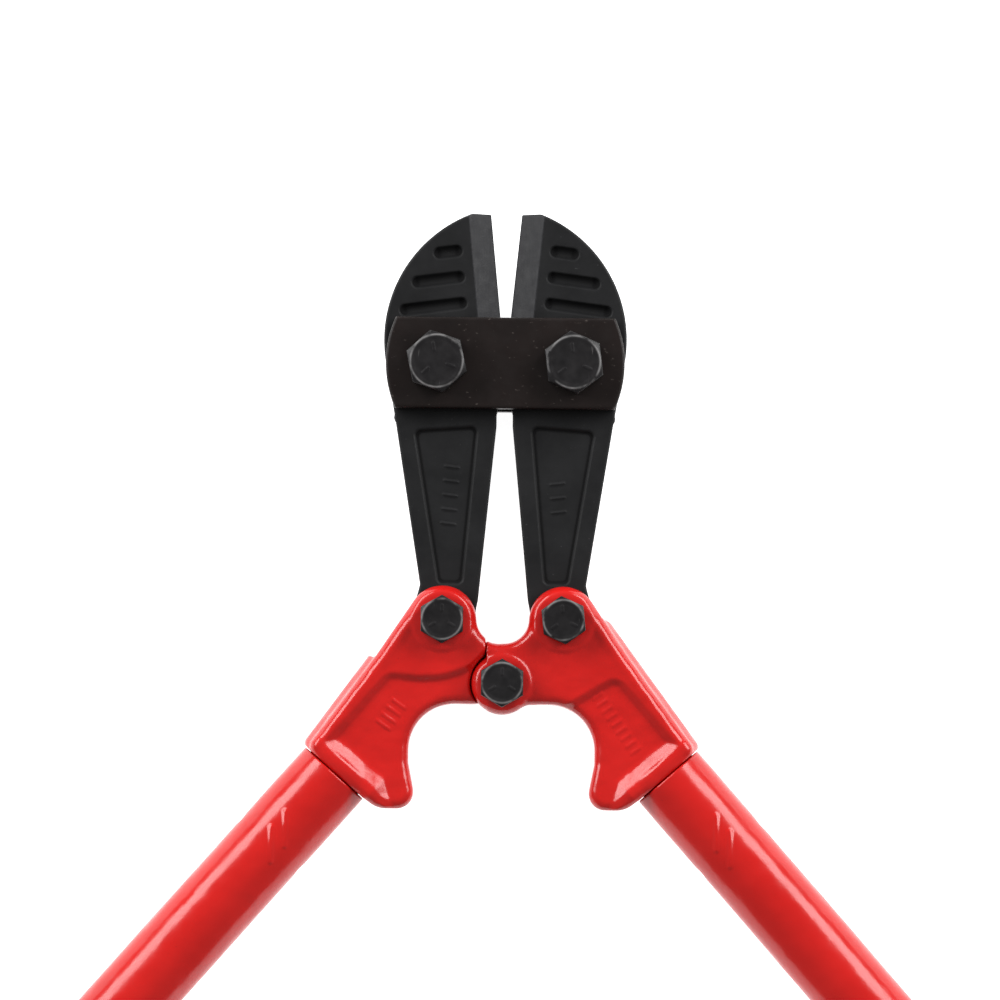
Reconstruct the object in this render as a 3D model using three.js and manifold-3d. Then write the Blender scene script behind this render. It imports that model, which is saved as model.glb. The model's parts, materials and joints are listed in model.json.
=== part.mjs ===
// Bolt cutters of the 600 mm class, lying flat with the jaws slightly open.
// Millimetres. The origin is on the centre pivot's axis, level with the ends of the bolts.
// +Y runs from the centre pivot to the jaw tips, +Z is towards the bolt heads.
// Every outline is drawn for the right-hand side, where +X is outward, away from the centre
// plane x = 0. The left-hand pieces are mirror images, apart from the centre joint.
import * as THREE from 'three';
import { mergeVertices } from 'three/addons/utils/BufferGeometryUtils.js';
import Module from 'manifold-3d';

const wasm = await Module();
wasm.setup();

const gap = 0.3;                 // clearance between pieces that touch
const degree = Math.PI / 180;
const cornerStep = 15 * degree;  // turn per facet on rounded corners
const roundSides = 28;           // facets round a disc, tube or hole

// Linkage
const jawPivotX = 21.2;          // jaw pivots, from the centre plane
const jawPivotY = 99.1;          // jaw pivots, from the centre pivot
const shankPivotX = 18.74;       // jaw shank pivots, from the centre plane
const shankPivotY = 19.5;        // jaw shank pivots, from the centre pivot
const jawOpen = 5.63 * degree;   // each cutting edge's angle to the centre plane
const swingClosed = 42.6 * degree; // turn of a shank in its head, from rest to closed
const swingOpen = -9.2 * degree; // and from rest to wide open
const swingSteps = 7;

// Jaws
const jawThick = 10;
const jawBackRadius = 42.1;      // the round back of a jaw
const jawBackX = -25.6;          // that radius' centre, outward of the jaw pivot
const jawBackY = 7.6;            // and further on than it, towards the tip
const jawLength = 47;            // jaw pivot to tip
const tipWidth = 5.9;            // flat across a jaw's tip
const edgeGap = 0.15;            // a closed edge's distance from the centre plane
const edgeLand = 0.7;            // thickness left along a cutting edge
const bevelWidth = 7;            // bevel beside a cutting edge
const bevelLength = 34;          // from the tip
const shankInner = 2.5;          // shank's inner side under the strap, from the centre plane
const shankEndRadius = 9.5;      // round end about the shank pivot
const shankTop = 19;             // where the strap uncovers the shank, below the jaw pivot
const shankNeck = 7;             // outer side of the shank above its head, from the shank pivot
const jawBackSweep = 0.2;        // radians that the round back runs below its centre
const edgeEnd = 5;               // end of the straight inner edge, beyond the jaw pivot
const shoulderRise = 2;          // jaw's outer shoulder, up from where the strap uncovers the shank
const shankPanelDepth = 0.9;
const shankPanelMargin = 11;     // from the shank pivot up to the panel
const grooveCount = 3;
const grooveFirst = 18.8;        // lowest groove, beyond the jaw pivot
const groovePitch = 8.15;
const grooveMargin = 4.8;        // from a groove's ends to the bevel and to the round back
const grooveRadius = 1.85;
const grooveDepth = 0.8;
const grooveDrop = 0.13;         // fall per unit of length, going outward

// Straps
const strapThick = 5;
const strapHeight = 28.3;
const strapCorner = 12.8;        // strap's corners, outward of the jaw pivots
const strapBulge = 3;            // its round ends stand this far past the corners

// Handle heads
const headThick = 21;
const slotRoom = 0.8;            // between a slot's sides and what swings in it
const earRadius = 10.6;          // about a shank pivot
const bossRadius = 9.5;          // right head's fork, about the centre pivot
const tongueRadius = 8.8;        // left head's tongue, about the centre pivot
const saddleY = 12.3;            // floor of the notch between the heads
const saddleSide = 7.7;          // radius of the notch's corners
const saddleReach = 4.9;         // right head's part of that floor, across the centre plane
const archTop = 6.4;             // top of the arch, below the centre pivot
const archRadius = 14.3;
const archInset = 4.4;           // side of the arch, inward of the lobe's centre
const panelThick = 16;           // left between the recessed panels of a head
const panelStart = 6;            // panels, above the tube's end
const panelReach = 34;           // and up to here
const panelCorner = 2.5;
const ribInner = 8.5;            // inner side of the rib, outward of the tube's axis
const lobeUp = 8.35;             // stop lobe's centre, above the tube's end
const lobeIn = 17;               // and inward of the tube's axis
const lobeRadius = 6.1;
const lobeFlat = 5.3;            // lobe's straight lower side, outward of its centre
const lobeNeck = 2;              // between the lobe's round and the arch
const shoulderOut = 1.4;         // bend in a head's outer side, past the round back
const earTurn = 35 * degree;     // where the outer side meets the ear
const collarRadius = 12.3;       // round end of a head, against the tube
const collarLength = 4;
const barrelRadius = 13.2;       // half-round back of a head
const barrelLength = 36;
const stemLength = 45;           // spigot inside the tube
const stemChamfer = 1.5;
const neckTop = 8.5;             // upper side of the tongue's root, from the centre pivot
const saddleDrop = 1.5;          // the notch's floor falls this far to the right head's end

// Tubes and grips
const tubeX = 51.5;              // middle of a tube's end, from the centre plane
const tubeY = -27.9;
const tubeAngle = 41.4 * degree; // tube's axis to the centre plane
const tubeRadius = 12;
const tubeWall = 2;
const tubeLength = 405;
const pinRadius = 2.5;
const pinWall = 1;
const pinAlong = 30;             // roll pin, from the tube's end
const gripStart = 255;
const gripRadius = 16;
const gripEnd = 6;               // thickness of a grip's closed end
const guardRadius = 17.5;
const guardLength = 6;
const gripChamfer = 3;

// Fasteners
const plateSize = { radius: 5, flats: 17, head: 6.4, nut: 8, washer: 2.5, washerRadius: 8.6 };
const pivotSize = { radius: 4, flats: 13, head: 5.5, nut: 6.5, washer: 2, washerRadius: 6.6 };
const threadPast = 1.1;          // thread past a plate nut

const strapOuter = jawThick / 2 + gap + strapThick;
const stackOf = (size, face) => face + gap + size.washer + gap + size.nut + threadPast;
const midPlane = Math.max(stackOf(plateSize, strapOuter), stackOf(pivotSize, headThick / 2));
const slotHalf = jawThick / 2 + gap;
const boreOf = (size) => size.radius + gap;

const centre = new THREE.Vector2(0, 0);
const shankPivot = new THREE.Vector2(shankPivotX, shankPivotY);
const jawPivot = new THREE.Vector2(jawPivotX, jawPivotY);
const tubeEnd = new THREE.Vector2(tubeX, tubeY);
const tubeDown = new THREE.Vector2(Math.sin(tubeAngle), -Math.cos(tubeAngle));
const tubeOut = new THREE.Vector2(Math.cos(tubeAngle), Math.sin(tubeAngle));
// A point up from the tube's end and outward of its axis.
const fromTube = (up, out) => tubeEnd.clone().addScaledVector(tubeDown, -up).addScaledVector(tubeOut, out);

const paint = (color, roughness, metalness) => new THREE.MeshStandardMaterial({ color, roughness, metalness });
const redEnamel = paint(0xc81e20, 0.25, 0);
const blackSteel = paint(0x232426, 0.5, 0.6);
const strapSteel = paint(0x1e1a18, 0.45, 0.6);
const boltSteel = paint(0x2c2a2c, 0.5, 0.7);
const springSteel = paint(0x55565a, 0.4, 0.9);
const gripRubber = paint(0x1a1a1b, 0.8, 0);

// Solids

function toSolid(geometry) {
  geometry.deleteAttribute('normal');
  geometry.deleteAttribute('uv');
  const merged = mergeVertices(geometry, 1e-4);
  const corners = merged.index.array;
  const kept = [];
  for (let i = 0; i < corners.length; i += 3) {
    const [a, b, c] = corners.slice(i, i + 3);
    if (a !== b && b !== c && c !== a) kept.push(a, b, c);
  }
  return new wasm.Manifold(new wasm.Mesh({
    numProp: 3,
    vertProperties: new Float32Array(merged.attributes.position.array),
    triVerts: new Uint32Array(kept),
  }));
}

function toGeometry(solid) {
  const { vertProperties, triVerts } = solid.getMesh();
  const geometry = new THREE.BufferGeometry();
  geometry.setAttribute('position', new THREE.BufferAttribute(vertProperties, 3));
  return geometry.setIndex(new THREE.BufferAttribute(triVerts, 1));
}

function mirrorImage(geometry) {
  const image = geometry.clone().scale(-1, 1, 1);
  const corners = image.index.array;
  for (let i = 0; i < corners.length; i += 3) {
    [corners[i], corners[i + 1]] = [corners[i + 1], corners[i]];
  }
  return image;
}

// An outline as a solid from z = low to z = high, both counted from the mid-plane.
function slab(outline, low, high) {
  const geometry = new THREE.ExtrudeGeometry(new THREE.Shape(outline), {
    depth: high - low,
    bevelEnabled: false,
  });
  return toSolid(geometry.translate(0, 0, midPlane + low));
}

// An outline as two cutters, one into each face of a piece, down to `half` from the mid-plane.
function facePockets(outline, half) {
  return slab(outline, half, midPlane).add(slab(outline, -midPlane, -half));
}

const point = (x, y) => new THREE.Vector2(x, y);

const onCircle = (middle, radius, turn) =>
  point(middle.x + radius * Math.cos(turn), middle.y + radius * Math.sin(turn));

const circle = (middle, radius, sides = roundSides) =>
  Array.from({ length: sides }, (_, i) => onCircle(middle, radius, (i / sides) * 2 * Math.PI));

// The points of an arc, both ends included.
function arc(middle, radius, from, to) {
  const steps = Math.max(1, Math.ceil(Math.abs(to - from) / cornerStep));
  return Array.from({ length: steps + 1 }, (_, i) =>
    onCircle(middle, radius, from + ((to - from) * i) / steps));
}

// A polygon of [corner, radius] pairs, each corner rounded to its radius.
function rounded(corners) {
  return corners.flatMap(([at, radius = 0], i) => {
    if (!radius) return [at];
    const before = corners.at(i - 1)[0].clone().sub(at).normalize();
    const after = corners[(i + 1) % corners.length][0].clone().sub(at).normalize();
    const half = Math.acos(before.dot(after)) / 2;
    const inward = before.clone().add(after).normalize();
    const middle = at.clone().addScaledVector(inward, radius / Math.sin(half));
    const from = at.clone().addScaledVector(before, radius / Math.tan(half)).sub(middle).angle();
    const to = at.clone().addScaledVector(after, radius / Math.tan(half)).sub(middle).angle();
    const sweep = to - from - Math.round((to - from) / (2 * Math.PI)) * 2 * Math.PI;
    return arc(middle, radius, from, from + sweep);
  });
}

// The outline round two discs of one radius.
function capsule(a, b, radius) {
  const along = b.clone().sub(a).angle();
  return [
    ...arc(b, radius, along - Math.PI / 2, along + Math.PI / 2),
    ...arc(a, radius, along + Math.PI / 2, along + 1.5 * Math.PI),
  ];
}

const turned = (outline, about, turn) => outline.map((p) => p.clone().rotateAround(about, turn));

const hole = (middle, radius) => slab(circle(middle, radius), -midPlane - gap, midPlane);

// A closed [radius, along] profile turned about the Y axis.
const turnedSolid = (profile) =>
  toSolid(new THREE.LatheGeometry(profile.map(([r, y]) => point(r, y)), roundSides));

// The same, with Y along the right tube's axis and the origin at the tube's end.
const onTubeAxis = (profile) => {
  const lathe = new THREE.LatheGeometry(profile.map(([r, y]) => point(r, y)), roundSides);
  lathe.rotateZ(Math.PI + tubeAngle).translate(tubeEnd.x, tubeEnd.y, midPlane);
  return toSolid(lathe);
};

// Jaws

const edgeX = (y) => edgeGap + (y - jawPivot.y) * Math.tan(jawOpen);

// The blade and the wide part about the jaw pivot, which the straps cover.
function bladeOutline() {
  const backMiddle = point(jawPivot.x + jawBackX, jawPivot.y + jawBackY);
  const tipY = jawPivot.y + jawLength;
  const tip = point(edgeX(tipY), tipY);
  const tipTurn = point(tip.x + tipWidth, tipY).sub(backMiddle).angle();
  return [
    ...arc(backMiddle, jawBackRadius, -jawBackSweep, tipTurn),
    tip,
    point(edgeX(jawPivot.y + edgeEnd), jawPivot.y + edgeEnd),
    point(shankInner, jawPivot.y - strapHeight / 2),
    point(jawPivot.x + strapCorner, jawPivot.y - shankTop + shoulderRise),
  ];
}

// From the jaw pivot down to the shank pivot, with every side moved out by `grow`.
function shankOutline(grow) {
  const end = shankEndRadius + grow;
  return [
    point(shankInner - grow, jawPivot.y - edgeEnd),
    point(shankInner - grow, jawPivot.y - shankTop),
    point(shankPivot.x - shankEndRadius - 1.5 - grow, shankPivot.y + 0.67 * shankEndRadius),
    point(shankPivot.x - 0.95 * end, shankPivot.y - 0.3 * end),
    point(shankPivot.x, shankPivot.y - 0.6 * end),
    point(shankPivot.x + 0.95 * end, shankPivot.y + 0.3 * end),
    point(shankPivot.x + shankNeck + grow, shankPivot.y + shankPanelMargin),
    point(jawPivot.x + strapCorner + grow, jawPivot.y - shankTop + shoulderRise),
  ];
}

function shankPanel() {
  const top = jawPivot.y - shankTop;
  const bottom = shankPivot.y + shankPanelMargin;
  return rounded([
    [point(shankInner + 5.5, top), 2],
    [point(jawPivot.x + strapCorner - 5.6, top - 1.5), 2],
    [point(shankPivot.x + shankNeck - 5.3, bottom), 2],
    [point(shankPivot.x - shankNeck + 0.7, bottom), 2],
  ]);
}

function grooveOutline(row) {
  const y = jawPivot.y + grooveFirst + row * groovePitch;
  const start = point(edgeX(y) + bevelWidth + grooveMargin, y);
  const reach = jawBackRadius - grooveMargin;
  const rise = y - jawPivot.y - jawBackY;
  const endX = jawPivot.x + jawBackX + Math.sqrt(reach ** 2 - rise ** 2);
  return capsule(start, point(endX, y - (endX - start.x) * grooveDrop), grooveRadius);
}

// What a bevel takes off one face: a wedge pulled down the cutting edge from beyond the tip.
function bevelWedge(face) {
  const land = edgeLand / 2;
  const slope = (jawThick / 2 - land) / bevelWidth;
  const past = 2;
  const top = land + slope * (bevelWidth + past);
  const wedge = new THREE.Shape([
    point(-past, face * land), point(0, face * land),
    point(bevelWidth + past, face * top), point(-past, face * top),
  ]);
  const geometry = new THREE.ExtrudeGeometry(wedge, { depth: bevelLength + past, bevelEnabled: false });
  const across = new THREE.Vector3(Math.cos(jawOpen), -Math.sin(jawOpen), 0);
  const down = new THREE.Vector3(-Math.sin(jawOpen), -Math.cos(jawOpen), 0);
  geometry.applyMatrix4(new THREE.Matrix4().makeBasis(across, new THREE.Vector3(0, 0, 1), down));
  const startY = jawPivot.y + jawLength + past;
  return toSolid(geometry.translate(edgeX(startY), startY, midPlane));
}

function makeJaw() {
  const half = jawThick / 2;
  let jaw = slab(bladeOutline(), -half, half)
    .add(slab(shankOutline(0), -half, half))
    .add(slab(circle(shankPivot, shankEndRadius), -half, half))
    .subtract(bevelWedge(1))
    .subtract(bevelWedge(-1))
    .subtract(facePockets(shankPanel(), half - shankPanelDepth))
    .subtract(hole(jawPivot, boreOf(plateSize)))
    .subtract(hole(shankPivot, boreOf(pivotSize)));
  for (let row = 0; row < grooveCount; row += 1) {
    jaw = jaw.subtract(facePockets(grooveOutline(row), half - grooveDepth));
  }
  return jaw;
}

// Straps

function makeStrap(face) {
  const half = strapHeight / 2;
  const bulgeRadius = (half ** 2 + strapBulge ** 2) / (2 * strapBulge);
  const middle = point(jawPivot.x + strapCorner + strapBulge - bulgeRadius, jawPivot.y);
  const turn = Math.asin(half / bulgeRadius);
  const end = arc(middle, bulgeRadius, -turn, turn);
  const outline = [...end, ...end.map((p) => point(-p.x, p.y)).reverse()];
  const inner = jawThick / 2 + gap;
  const [low, high] = face > 0 ? [inner, strapOuter] : [-strapOuter, -inner];
  return slab(outline, low, high)
    .subtract(hole(jawPivot, boreOf(plateSize)))
    .subtract(hole(point(-jawPivot.x, jawPivot.y), boreOf(plateSize)));
}

// Handle heads

// A head's outline without its ear and boss. The notch's corner turns by `corner` up to the
// edge by the centre, whose points are `nose`.
function headOutline(corner, nose) {
  const notchMiddle = point(shankPivot.x - earRadius - saddleSide, saddleY + saddleSide);
  const lobe = fromTube(lobeUp, -lobeIn);
  const archSide = lobe.x - archInset;
  return rounded([
    ...arc(notchMiddle, saddleSide, 0, -corner).map((p) => [p]),
    ...nose.map((p) => [p]),
    [point(archSide, -archTop), archRadius],
    [point(archSide, lobe.y + lobeRadius + lobeNeck), lobeRadius],
    [point(lobe.x - lobeRadius + 0.1, lobe.y), lobeRadius],
    [point(lobe.x - lobeRadius, lobe.y - lobeRadius), lobeRadius - 1],
    [point(lobe.x + lobeFlat, lobe.y - lobeRadius), 4],
    [fromTube(0, -collarRadius + 0.3)],
    [fromTube(0, barrelRadius), 3.5],
    [fromTube(barrelLength, barrelRadius + shoulderOut), 10],
    [onCircle(shankPivot, earRadius, earTurn)],
  ]);
}

// The recessed part of a head's faces. It runs out past the arch and the lobe.
function panelOutline(inner) {
  const below = lobeRadius + 3;
  const lobe = fromTube(lobeUp, -lobeIn);
  return rounded([
    [fromTube(panelStart, ribInner)],
    [fromTube(panelReach, ribInner), panelCorner],
    ...inner.map((p) => [p]),
    [point(lobe.x - archInset - archRadius, lobe.y + below)],
    [point(lobe.x - below, lobe.y)],
    [point(lobe.x - below, lobe.y - below)],
    [fromTube(panelStart, -lobeIn - 3 * below)],
  ]);
}

// The jaws' turns are kept in a constant ratio to the handles', which leaves the two centre
// bores slightly apart between rest and closed. This is where the fork's centre then lies in
// the left head, drawn as a right-hand piece, when both shanks have swung by `turn`.
function centreInTongue(turn) {
  const jawTurn = (turn * jawOpen) / swingClosed;
  const fork = centre.clone().rotateAround(shankPivot, -turn).rotateAround(jawPivot, jawTurn);
  return point(-fork.x, fork.y).rotateAround(jawPivot, -jawTurn).rotateAround(shankPivot, turn);
}

// The slot that a jaw's shank swings in.
function shankSlot() {
  let slot = slab(circle(shankPivot, shankEndRadius + slotRoom), -slotHalf, slotHalf);
  for (let i = 0; i <= swingSteps; i += 1) {
    const turn = swingOpen + ((swingClosed - swingOpen) * i) / swingSteps;
    slot = slot.add(slab(turned(shankOutline(slotRoom), shankPivot, turn), -slotHalf, slotHalf));
  }
  return slot;
}

// A head up to its centre joint: ear, body, round back, collar and stem.
function headBlank(corner, nose, panelInner) {
  const half = headThick / 2;
  const end = [[0, 0], [collarRadius, 0], [collarRadius, -collarLength], [0, -collarLength]].reverse();
  const barrel = [[0, -barrelLength], [barrelRadius, -barrelLength], [barrelRadius, -1], [0, -1]];
  const stemRadius = tubeRadius - tubeWall - gap;
  const stem = [
    [0, -1], [stemRadius, -1], [stemRadius, stemLength - stemChamfer],
    [stemRadius - stemChamfer, stemLength], [0, stemLength],
  ];
  const panelHalf = panelThick / 2;
  const barrelBand = slab(circle(tubeEnd, 3 * barrelLength), -panelHalf, panelHalf);
  return slab(headOutline(corner, nose), -half, half)
    .add(slab(circle(shankPivot, earRadius), -half, half))
    .subtract(facePockets(panelOutline(panelInner), panelHalf))
    .add(onTubeAxis(barrel).intersect(barrelBand))
    .add(onTubeAxis(end))
    .add(onTubeAxis(stem))
    .subtract(shankSlot())
    .subtract(hole(shankPivot, boreOf(pivotSize)))
    .subtract(pinHole(pinRadius + gap));
}

// Across the tube, in the plane of the tool.
function pinHole(radius) {
  const cylinder = new THREE.CylinderGeometry(radius, radius, 4 * tubeRadius, 16);
  const at = fromTube(-pinAlong, 0);
  cylinder.rotateZ(tubeAngle - Math.PI / 2).translate(at.x, at.y, midPlane);
  return toSolid(cylinder);
}

// Two cheeks about the centre pivot, with a slot between them for the tongue.
function makeForkHead() {
  const half = headThick / 2;
  const nose = [
    point(-1.5, saddleY - 0.1), point(-saddleReach, saddleY - saddleDrop), point(-saddleReach, -archTop),
  ];
  const slotRadius = tongueRadius + centreInTongue(swingClosed / 2).length() + slotRoom;
  const mouth = [
    point(-slotRadius, 0), point(0.5 * slotRadius, 0),
    point(0.5 * slotRadius, saddleY + slotRoom + 2), point(-slotRadius, saddleY + slotRoom + 2),
  ];
  return headBlank(Math.PI / 2, nose, [point(19.6, -archTop + 0.4), point(19.6, -archTop - 3)])
    .add(slab(circle(centre, bossRadius), -half, half))
    .subtract(slab(circle(centre, slotRadius), -slotHalf, slotHalf))
    .subtract(slab(mouth, -slotHalf, slotHalf))
    .subtract(hole(centre, boreOf(pivotSize)));
}

// One tongue about the centre pivot, stepped down from the head's faces on both sides.
function makeTongueHead() {
  const tongueHalf = slotHalf - gap;
  const noseX = saddleReach + gap;
  const corner = Math.acos((noseX + earRadius - shankPivot.x + saddleSide) / saddleSide);
  const furthest = centreInTongue(swingClosed / 2);
  const neckEnd = tongueRadius + 5;
  const neckLow = -archTop + 0.2;
  const neck = [point(0, neckLow), point(neckEnd, neckLow), point(neckEnd, neckTop), point(0, neckTop)];
  const loose = boreOf(pivotSize) + gap;
  const bore = slab(capsule(centreInTongue(swingOpen), centre, loose), -midPlane, midPlane)
    .add(slab(capsule(centre, furthest, loose), -midPlane, midPlane));
  return headBlank(corner, [point(noseX, -archTop)], [point(10.3, 6.5), point(0, 8), point(0, -archTop - 3)])
    .subtract(slab(capsule(centre, furthest, bossRadius + 1.5 * gap), -midPlane, midPlane))
    .add(slab(circle(centre, tongueRadius), -tongueHalf, tongueHalf))
    .add(slab(neck, -tongueHalf, tongueHalf))
    .subtract(bore);
}

// Tubes, pins and grips, along +Y from the tube's end

function makeTube() {
  const inner = tubeRadius - tubeWall;
  const ring = [[inner, gap], [tubeRadius, gap], [tubeRadius, tubeLength], [inner, tubeLength], [inner, gap]];
  const cutter = new THREE.CylinderGeometry(pinRadius + gap, pinRadius + gap, 4 * tubeRadius, 16);
  return turnedSolid(ring).subtract(toSolid(cutter.rotateZ(Math.PI / 2).translate(0, pinAlong, 0)));
}

// A rolled pin, open along one side.
function makePin() {
  const half = tubeRadius - 0.5;
  const inner = pinRadius - pinWall;
  const ring = [[inner, -half], [pinRadius, -half], [pinRadius, half], [inner, half], [inner, -half]];
  const lathe = new THREE.LatheGeometry(ring.map(([r, y]) => point(r, y)), 16);
  const seam = new THREE.BoxGeometry(4 * tubeRadius, 2 * pinRadius, 0.8).translate(0, pinRadius, 0);
  return toSolid(lathe.rotateZ(Math.PI / 2).translate(0, pinAlong, 0))
    .subtract(toSolid(seam.translate(0, pinAlong, 0)));
}

function makeGrip() {
  const inner = tubeRadius + gap;
  const innerEnd = tubeLength + gap;
  const end = innerEnd + gripEnd;
  const guardEnd = gripStart + guardLength;
  return turnedSolid([
    [inner, gripStart], [guardRadius, gripStart], [guardRadius, guardEnd], [gripRadius, guardEnd + 2],
    [gripRadius, end - gripChamfer], [gripRadius - gripChamfer, end],
    [0, end], [0, innerEnd], [inner, innerEnd],
    [inner, gripStart],
  ]);
}

// Fasteners, about the Z axis, with z counted from the mid-plane

const flatToFlat = (flats) =>
  circle(centre, flats / Math.sqrt(3), 6).map((p) => p.rotateAround(centre, Math.PI / 2));

// A hexagonal prism whose corners are turned off at its outer end, the one furthest from z = 0.
function hexagon(flats, from, to) {
  const wide = 0.6 * flats;
  const step = Math.sign(to - from) * (wide - 0.48 * flats) * 0.5;
  const profile = [[0, from], [wide, from], [wide, to - step], [0.48 * flats, to], [0, to]];
  const ordered = to > from ? profile : profile.reverse();
  const cone = new THREE.LatheGeometry(ordered.map(([r, y]) => point(r, y)), roundSides);
  const prism = slab(flatToFlat(flats), Math.min(from, to), Math.max(from, to));
  return prism.intersect(toSolid(cone.rotateX(Math.PI / 2).translate(0, 0, midPlane)));
}

function makeBolt(size, face) {
  const seat = face + gap;
  const tail = 1;
  const shank = [[0, -midPlane], [size.radius - tail, -midPlane], [size.radius, tail - midPlane],
    [size.radius, seat + 1], [0, seat + 1]];
  const lathe = new THREE.LatheGeometry(shank.map(([r, y]) => point(r, y)), roundSides);
  return hexagon(size.flats, seat, seat + size.head)
    .add(toSolid(lathe.rotateX(Math.PI / 2).translate(0, 0, midPlane)));
}

// A spring washer: a flat ring with a split.
function makeWasher(size, face) {
  const top = -face - gap;
  const bottom = top - size.washer;
  const split = [point(0, -0.5), point(size.washerRadius + 1, -1), point(size.washerRadius + 1, 0),
    point(0, 0.5)];
  return slab(circle(centre, size.washerRadius), bottom, top)
    .subtract(slab(circle(centre, boreOf(size)), -midPlane, 0))
    .subtract(slab(split, -midPlane, 0));
}

function makeNut(size, face) {
  const top = -face - 2 * gap - size.washer;
  return hexagon(size.flats, top, top - size.nut)
    .subtract(slab(circle(centre, boreOf(size)), -midPlane - gap, 0));
}

// The object

const group = new THREE.Group();

function place(name, geometry, material, x = 0, y = 0, z = 0, turn = 0) {
  const mesh = new THREE.Mesh(geometry, material);
  mesh.name = name;
  mesh.position.set(x, y, z);
  mesh.rotation.z = turn;
  group.add(mesh);
}

function placeBolt(name, size, face, at, turn) {
  place(`${name}_bolt`, toGeometry(makeBolt(size, face)), boltSteel, at.x, at.y, 0, turn);
  place(`${name}_washer`, toGeometry(makeWasher(size, face)), springSteel, at.x, at.y, 0, turn);
  place(`${name}_nut`, toGeometry(makeNut(size, face)), boltSteel, at.x, at.y, 0, turn);
}

const jaw = toGeometry(makeJaw());
const heads = { left: mirrorImage(toGeometry(makeTongueHead())), right: toGeometry(makeForkHead()) };
const jaws = { left: mirrorImage(jaw), right: jaw };
const plateTurns = { left: 12 * degree, right: 7 * degree };
const shankTurns = { left: 0, right: 6 * degree };

place('front_strap', toGeometry(makeStrap(1)), strapSteel);
place('back_strap', toGeometry(makeStrap(-1)), strapSteel);
placeBolt('centre', pivotSize, headThick / 2, centre, 0);

for (const [name, side] of [['left', -1], ['right', 1]]) {
  const tubeTurn = Math.PI + side * tubeAngle;
  const alongTube = [side * tubeEnd.x, tubeEnd.y, midPlane, tubeTurn];
  place(`${name}_jaw`, jaws[name], blackSteel);
  place(`${name}_handle_head`, heads[name], redEnamel);
  place(`${name}_tube`, toGeometry(makeTube()), redEnamel, ...alongTube);
  place(`${name}_roll_pin`, toGeometry(makePin()), springSteel, ...alongTube);
  place(`${name}_grip`, toGeometry(makeGrip()), gripRubber, ...alongTube);
  const plateAt = point(side * jawPivot.x, jawPivot.y);
  const shankAt = point(side * shankPivot.x, shankPivot.y);
  placeBolt(`${name}_plate`, plateSize, strapOuter, plateAt, plateTurns[name]);
  placeBolt(`${name}_shank`, pivotSize, headThick / 2, shankAt, shankTurns[name]);
}

export default group;
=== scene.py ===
"""Bolt cutters: the visible model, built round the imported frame.

The forged, pressed and threaded pieces are distance fields, in millimetres with z counted from
the tool's mid-plane, that are turned into fine meshes. Tubes and grips are turned profiles, and
the pins are bent strips. As in the CAD part, a right-hand piece is drawn with +x outward and a
left-hand piece is its mirror image.
"""

import json
import math

import bpy
import numpy as np
import openvdb
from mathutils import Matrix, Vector


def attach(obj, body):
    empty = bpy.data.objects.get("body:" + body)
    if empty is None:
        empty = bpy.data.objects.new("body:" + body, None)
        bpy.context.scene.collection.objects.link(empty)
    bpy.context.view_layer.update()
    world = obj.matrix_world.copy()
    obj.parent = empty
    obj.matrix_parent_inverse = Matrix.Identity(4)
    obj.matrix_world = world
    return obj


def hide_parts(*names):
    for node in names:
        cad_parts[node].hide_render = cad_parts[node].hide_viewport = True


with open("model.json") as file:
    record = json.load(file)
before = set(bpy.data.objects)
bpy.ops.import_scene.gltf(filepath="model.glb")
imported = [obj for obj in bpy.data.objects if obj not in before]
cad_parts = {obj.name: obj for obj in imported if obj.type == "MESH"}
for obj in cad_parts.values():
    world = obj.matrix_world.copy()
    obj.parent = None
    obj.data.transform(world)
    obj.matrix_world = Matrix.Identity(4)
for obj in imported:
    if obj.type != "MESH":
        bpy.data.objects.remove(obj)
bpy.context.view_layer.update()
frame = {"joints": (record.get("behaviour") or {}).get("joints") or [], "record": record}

# -------- places from the frame

METRE = 1000.0
DEGREE = math.pi / 180

record = frame["record"]
joint_at = {j["name"]: np.array(j["pos_m"]) * METRE for j in frame["joints"]}
joint_range = {j["name"]: j["range_deg"] for j in frame["joints"]}
mount = {m["name"]: m for m in record["mounts"]}

MID_PLANE = joint_at["right_handle_pivot"][2]
CENTRE = np.zeros(2)
JAW_PIVOT = joint_at["right_jaw_pivot"][:2]
SHANK_PIVOT = joint_at["right_handle_pivot"][:2]
SWING = [turn * DEGREE for turn in joint_range["right_handle_pivot"]]
jaw_coupling = next(c for c in record["behaviour"]["couplings"] if c["joint"] == "right_jaw_pivot")
JAW_SHARE = abs(jaw_coupling["ratio"])

TUBE_REACH = 411.3  # tube's end at the head, to the end of the grip
TUBE_DOWN = np.array(mount["right_grip_end"]["axis"][:2])
TUBE_OUT = np.array([-TUBE_DOWN[1], TUBE_DOWN[0]])
TUBE_END = np.array(mount["right_grip_end"]["pos_m"][:2]) * METRE - TUBE_REACH * TUBE_DOWN


def from_tube(up, out):
    """The point `up` from the tube's end and `out` from its axis."""
    return TUBE_END - up * TUBE_DOWN + out * TUBE_OUT


# -------- sizes, in millimetres

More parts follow.
